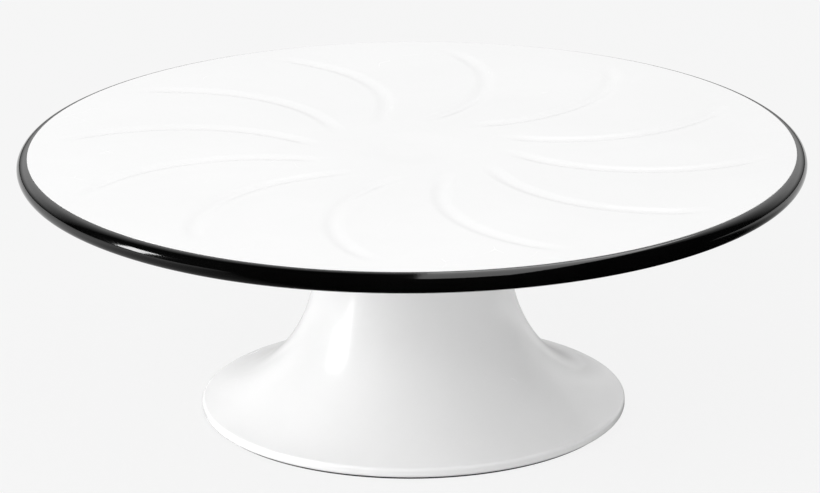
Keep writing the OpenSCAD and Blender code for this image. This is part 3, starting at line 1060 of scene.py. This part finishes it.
def floor_finish():
    """Pale paper that glows towards the camera, and in reflections shows a painted glow behind and at the
    left.
    """
    material = bpy.data.materials.new("studio_floor")
    material.use_nodes = True
    tree = material.node_tree
    tree.nodes.clear()
    place = add(tree, "ShaderNodeTexCoord").outputs["Object"]
    at = add(tree, "ShaderNodeSeparateXYZ", {"Vector": place})
    slant = calc(tree, "ADD", calc(tree, "MULTIPLY", at.outputs["X"], FLOOR_SLANT), at.outputs["Y"])
    left = mapped(tree, slant, *LEFT_GLOW_FADE, 0.0, FLOOR_REFLECTION_GLOW)
    far = mapped(tree, at.outputs["Y"], *FAR_GLOW_FADE, 0.0, FLOOR_REFLECTION_GLOW)
    strength = by_ray(tree, 0.0, calc(tree, "MAXIMUM", left, far), PAPER_TONE)
    glow = add(tree, "ShaderNodeEmission", {"Color": (1, 1, 1, 1), "Strength": strength})
    paper = add(tree, "ShaderNodeBsdfDiffuse", {"Color": (*grey(PAPER_SHADE), 1)})
    share = by_ray(tree, 0.0, 1.0, PAPER_GLOW)
    mixed = add(tree, "ShaderNodeMixShader", {"Fac": share, 1: paper.outputs[0], 2: glow.outputs[0]})
    from_below = add(tree, "ShaderNodeNewGeometry").outputs["Backfacing"]
    clear = add(tree, "ShaderNodeBsdfTransparent")
    sides = {"Fac": from_below, 1: mixed.outputs[0], 2: clear.outputs[0]}
    seen = add(tree, "ShaderNodeMixShader", sides)
    add(tree, "ShaderNodeOutputMaterial", {"Surface": seen.outputs[0]})
    return material


corners = places(FLOOR_SIDES, FLOOR_HOLE) + places(FLOOR_SIDES, FLOOR_RADIUS)
quads = []
for i in range(FLOOR_SIDES):
    j = (i + 1) % FLOOR_SIDES
    quads.append((i, FLOOR_SIDES + i, FLOOR_SIDES + j, j))
floor_mesh = bpy.data.meshes.new("studio_floor")
floor_mesh.from_pydata(corners, [], quads)
floor = bpy.data.objects.new("studio_floor", floor_mesh)
bpy.context.scene.collection.objects.link(floor)
dress(floor, floor_finish())
print("floor faces:", len(floor_mesh.polygons))

# %% [markdown]
# A soft box is a broad, even lamp. A large one at the front left, the key, shapes the whole stand. The
# plate shades the pedestal from it, so two weaker ones light the pedestal: one low at the left, one at
# the front right.

# %% Lamps that light


def soft_box(name, place, target, size, power, lights=True, reflects=False):
    """A rectangular lamp at place, turned towards target. The camera doesn't see it."""
    light = bpy.data.lights.new(name, "AREA")
    light.shape = "RECTANGLE"
    light.size, light.size_y = size
    light.energy = power
    lamp = bpy.data.objects.new(name, light)
    lamp.location = place
    lamp.rotation_euler = (Vector(target) - Vector(place)).to_track_quat("-Z", "Y").to_euler()
    lamp.visible_camera = False
    lamp.visible_diffuse = lights
    lamp.visible_glossy = reflects
    bpy.context.scene.collection.objects.link(lamp)
    return lamp


soft_box("key", (-1.2, -1.1, 1.2), (0, 0, 0.06), (1.2, 1.2), 15)
low_left = soft_box("low_left", (-0.80, -0.12, 0.12), (0, 0, 0.05), (0.8, 0.12), 2.7)
right_fill = soft_box("right_fill", (0.9, -1.0, 0.35), (0, 0, 0.05), (0.8, 0.5), 0.8)
print("lamps that light:", len(bpy.data.lights))

# %% [markdown]
# Four more boxes light nothing and are there only to be mirrored: `glint` at the band's left, `sheen`
# along the band's top, `streak` upright on the neck, and `horizon`, which fills the dark gap between sky
# and floor where the white plastic would mirror it.

# %% Lamps that are mirrored


def mirrored_box(name, place, target, size, power):
    return soft_box(name, place, target, size, power, lights=False, reflects=True)


mirrored_box("glint", (-1.05, -0.17, 0.36), (-0.09, -0.1, 0.09), (0.2, 0.42), 4.5)
mirrored_box("sheen", (0.25, 0.25, 1.1), (0.25, 0.25, 0.0), (0.46, 2.0), 7)
streak = mirrored_box("streak", (-0.232, -0.090, 0.062), (-0.023, -0.027, 0.062), (0.019, 0.104), 0.04)
horizon = mirrored_box("horizon", (0, 3.0, 0.35), (0, 0, 0.1), (8.0, 0.7), 7)
print("lamps in all:", len(bpy.data.lights))

# %% [markdown]
# Light linking names the pieces that a lamp reaches. The lamps for the pedestal reach nothing else, and
# the horizon reaches the two white pieces, so the band stays black.

# %% Say which pieces the lamps reach


def reaches(lamps, name, pieces):
    """Keeps the lamps' light to some pieces."""
    receivers = bpy.data.collections.new(name)
    for piece in pieces:
        receivers.objects.link(piece)
    for lamp in lamps:
        lamp.light_linking.receiver_collection = receivers
    print(name, "for", [lamp.name for lamp in lamps])


reaches([low_left, right_fill, streak], "pedestal_only", [pedestal])
reaches([horizon], "white_parts", [pedestal, plate])
bpy.context.scene.view_settings.view_transform = "Standard"

# %% [markdown]
# ## The camera
# A long lens from a little above shows the plate as a wide ellipse, with the pedestal below it.

# %% Camera
CAMERA_PLACE = (0, -1.7057, 0.6287)
LENS = 221.3  # millimetres, as the sensor's width is
SENSOR = 36
FAR_CLIP = 50
PITCH, YAW, ROLL = math.radians(18.43), math.radians(-0.03), math.radians(-0.40)

camera_data = bpy.data.cameras.new("camera")
camera_data.sensor_width = SENSOR
camera_data.lens = LENS
camera_data.clip_end = FAR_CLIP
camera = bpy.data.objects.new("camera", camera_data)
bpy.context.scene.collection.objects.link(camera)
bpy.context.scene.camera = camera
camera.location = CAMERA_PLACE
camera.rotation_mode = "XYZ"
level = Vector((math.sin(YAW), math.cos(YAW), 0))
forward = level * math.cos(PITCH) - Vector((0, 0, math.sin(PITCH)))
right = Vector((math.cos(YAW), -math.sin(YAW), 0))
upward = right.cross(forward)
right, upward = (
    right * math.cos(ROLL) + upward * math.sin(ROLL),
    upward * math.cos(ROLL) - right * math.sin(ROLL),
)
camera.rotation_euler = Matrix((right, upward, -forward)).transposed().to_euler()
print(f"camera {camera.location.length:.2f} m away, looking down by {math.degrees(PITCH):.1f} degrees")

# %% [markdown]
# ## The last update
# The rebuilt pieces have to stay inside the box of the CAD model. The last cell brings the scene up to
# date.

# %% Bring the scene up to date
bpy.context.view_layer.update()
